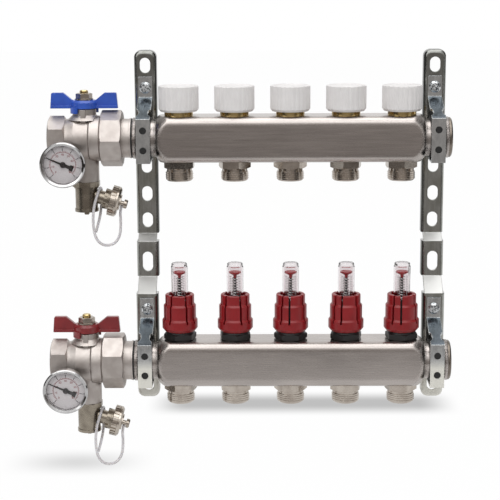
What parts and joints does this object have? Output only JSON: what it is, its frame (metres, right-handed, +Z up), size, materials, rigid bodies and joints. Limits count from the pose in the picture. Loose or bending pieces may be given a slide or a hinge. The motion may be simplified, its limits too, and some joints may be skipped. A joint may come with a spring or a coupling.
{
  "type": "distribution manifold",
  "caption": "Underfloor heating manifold on two wall brackets: return and supply bars with protective caps, flow meters, ball valves, dial thermometers and drain cocks.",
  "frame": {"origin": "on the wall plane, midway between the two brackets and between the axes of the two bars", "axes": "+X along the bars away from the ball valves, +Y into the wall, +Z up"},
  "size_m": [0.3653, 0.09, 0.3751],
  "materials": {
    "galvanised_steel": "galvanised, satin",
    "strap_steel": "zinc plated",
    "screw_steel": "bright zinc",
    "black_rubber": "matt",
    "stainless_steel": "brushed along the bar",
    "nickel_plated_brass": "nickel plated, satin",
    "bare_brass": "turned",
    "chromed_ball": "polished chrome plate",
    "bright_steel": "bright",
    "white_plastic": "satin",
    "seat_plastic": "waxy",
    "black_plastic": "satin",
    "red_plastic": "satin",
    "clear_plastic": "clear",
    "strap_plastic": "translucent",
    "blue_paint": "satin enamel",
    "red_paint": "satin enamel",
    "dial_plate": "printed scale"
  },
  "bodies": {
    "manifold": {"left_bracket": "galvanised_steel", "right_bracket": "galvanised_steel", "clamp_straps": "strap_steel", "clamp_screws": "screw_steel", "clamp_liners": "black_rubber", "union_seals": "black_rubber", "return_bar": "stainless_steel", "supply_bar": "stainless_steel", "return_valve_body": "nickel_plated_brass", "return_valve_end_piece": "nickel_plated_brass", "return_union_tail": "nickel_plated_brass", "return_drain_body": "nickel_plated_brass", "supply_valve_body": "nickel_plated_brass", "supply_valve_end_piece": "nickel_plated_brass", "supply_union_tail": "nickel_plated_brass", "supply_drain_body": "nickel_plated_brass", "union_nuts": "nickel_plated_brass", "return_outlets": "nickel_plated_brass", "supply_outlets": "nickel_plated_brass", "end_plugs": "nickel_plated_brass", "valve_inserts": "bare_brass", "return_gauge_case": "bright_steel", "supply_gauge_case": "bright_steel", "ball_seats": "seat_plastic", "meter_bases": "black_plastic", "meter_tubes": "clear_plastic", "gauge_lenses": "clear_plastic", "return_drain_cap_strap": "strap_plastic", "supply_drain_cap_strap": "strap_plastic", "gauge_dials": "dial_plate"},
    "cap_1": {"protective_cap_1": "white_plastic"},
    "cap_2": {"protective_cap_2": "white_plastic"},
    "cap_3": {"protective_cap_3": "white_plastic"},
    "cap_4": {"protective_cap_4": "white_plastic"},
    "cap_5": {"protective_cap_5": "white_plastic"},
    "collar_1": {"regulating_collar_1": "red_plastic"},
    "collar_2": {"regulating_collar_2": "red_plastic"},
    "collar_3": {"regulating_collar_3": "red_plastic"},
    "collar_4": {"regulating_collar_4": "red_plastic"},
    "collar_5": {"regulating_collar_5": "red_plastic"},
    "indicator_1": {"flow_indicator_1": "red_plastic"},
    "indicator_2": {"flow_indicator_2": "red_plastic"},
    "indicator_3": {"flow_indicator_3": "red_plastic"},
    "indicator_4": {"flow_indicator_4": "red_plastic"},
    "indicator_5": {"flow_indicator_5": "red_plastic"},
    "return_lever": {"return_handle": "blue_paint", "return_handle_nut": "bright_steel", "return_valve_stem": "bare_brass", "return_valve_ball": "chromed_ball"},
    "return_spindle": {"return_drain_spindle": "bare_brass"},
    "return_cap": {"return_drain_cap": "nickel_plated_brass"},
    "return_needle": {"return_gauge_needle": "black_plastic"},
    "supply_lever": {"supply_handle": "red_paint", "supply_handle_nut": "bright_steel", "supply_valve_stem": "bare_brass", "supply_valve_ball": "chromed_ball"},
    "supply_spindle": {"supply_drain_spindle": "bare_brass"},
    "supply_cap": {"supply_drain_cap": "nickel_plated_brass"},
    "supply_needle": {"supply_gauge_needle": "black_plastic"}
  },
  "joints": [
    {"name": "cap_1_turn", "type": "hinge", "parent": "manifold", "child": "cap_1", "pos_m": [-0.1, -0.0311, 0.135], "axis": [0, 0, 1], "range_deg": [0, 1080]},
    {"name": "cap_2_turn", "type": "hinge", "parent": "manifold", "child": "cap_2", "pos_m": [-0.05, -0.0311, 0.135], "axis": [0, 0, 1], "range_deg": [0, 1080]},
    {"name": "cap_3_turn", "type": "hinge", "parent": "manifold", "child": "cap_3", "pos_m": [0, -0.0311, 0.135], "axis": [0, 0, 1], "range_deg": [0, 1080]},
    {"name": "cap_4_turn", "type": "hinge", "parent": "manifold", "child": "cap_4", "pos_m": [0.05, -0.0311, 0.135], "axis": [0, 0, 1], "range_deg": [0, 1080]},
    {"name": "cap_5_turn", "type": "hinge", "parent": "manifold", "child": "cap_5", "pos_m": [0.1, -0.0311, 0.135], "axis": [0, 0, 1], "range_deg": [0, 1080]},
    {"name": "collar_1_turn", "type": "hinge", "parent": "manifold", "child": "collar_1", "pos_m": [-0.1, -0.0551, -0.055], "axis": [0, 0, 1], "range_deg": [0, 900]},
    {"name": "collar_2_turn", "type": "hinge", "parent": "manifold", "child": "collar_2", "pos_m": [-0.05, -0.0551, -0.055], "axis": [0, 0, 1], "range_deg": [0, 900]},
    {"name": "collar_3_turn", "type": "hinge", "parent": "manifold", "child": "collar_3", "pos_m": [0, -0.0551, -0.055], "axis": [0, 0, 1], "range_deg": [0, 900]},
    {"name": "collar_4_turn", "type": "hinge", "parent": "manifold", "child": "collar_4", "pos_m": [0.05, -0.0551, -0.055], "axis": [0, 0, 1], "range_deg": [0, 900]},
    {"name": "collar_5_turn", "type": "hinge", "parent": "manifold", "child": "collar_5", "pos_m": [0.1, -0.0551, -0.055], "axis": [0, 0, 1], "range_deg": [0, 900]},
    {"name": "indicator_1_travel", "type": "slide", "parent": "manifold", "child": "indicator_1", "axis": [0, 0, -1], "range_m": [0, 0.02], "stiffness_N_per_m": 5, "springref_m": -0.01},
    {"name": "indicator_2_travel", "type": "slide", "parent": "manifold", "child": "indicator_2", "axis": [0, 0, -1], "range_m": [0, 0.02], "stiffness_N_per_m": 5, "springref_m": -0.01},
    {"name": "indicator_3_travel", "type": "slide", "parent": "manifold", "child": "indicator_3", "axis": [0, 0, -1], "range_m": [0, 0.02], "stiffness_N_per_m": 5, "springref_m": -0.01},
    {"name": "indicator_4_travel", "type": "slide", "parent": "manifold", "child": "indicator_4", "axis": [0, 0, -1], "range_m": [0, 0.02], "stiffness_N_per_m": 5, "springref_m": -0.01},
    {"name": "indicator_5_travel", "type": "slide", "parent": "manifold", "child": "indicator_5", "axis": [0, 0, -1], "range_m": [0, 0.02], "stiffness_N_per_m": 5, "springref_m": -0.01},
    {"name": "return_lever_turn", "type": "hinge", "parent": "manifold", "child": "return_lever", "pos_m": [-0.1845, -0.0311, 0.13], "axis": [0, 0, 1], "range_deg": [-90, 0]},
    {"name": "return_spindle_turn", "type": "hinge", "parent": "manifold", "child": "return_spindle", "pos_m": [-0.1845, -0.0311, 0.04], "axis": [0, 0, -1], "range_deg": [0, 720]},
    {"name": "return_cap_turn", "type": "hinge", "parent": "manifold", "child": "return_cap", "pos_m": [-0.15951, -0.0311, 0.04283], "axis": [0.9613, 0, -0.2756], "range_deg": [0, 1080]},
    {"name": "return_needle_turn", "type": "hinge", "parent": "manifold", "child": "return_needle", "pos_m": [-0.2011, -0.0617, 0.0803], "axis": [0, -1, 0], "range_deg": [-202, 68]},
    {"name": "supply_lever_turn", "type": "hinge", "parent": "manifold", "child": "supply_lever", "pos_m": [-0.1845, -0.0551, -0.07], "axis": [0, 0, 1], "range_deg": [-90, 0]},
    {"name": "supply_spindle_turn", "type": "hinge", "parent": "manifold", "child": "supply_spindle", "pos_m": [-0.1845, -0.0551, -0.16], "axis": [0, 0, -1], "range_deg": [0, 720]},
    {"name": "supply_cap_turn", "type": "hinge", "parent": "manifold", "child": "supply_cap", "pos_m": [-0.15951, -0.0551, -0.15717], "axis": [0.9613, 0, -0.2756], "range_deg": [0, 1080]},
    {"name": "supply_needle_turn", "type": "hinge", "parent": "manifold", "child": "supply_needle", "pos_m": [-0.2011, -0.0857, -0.1197], "axis": [0, -1, 0], "range_deg": [-202, 68]}
  ]
}
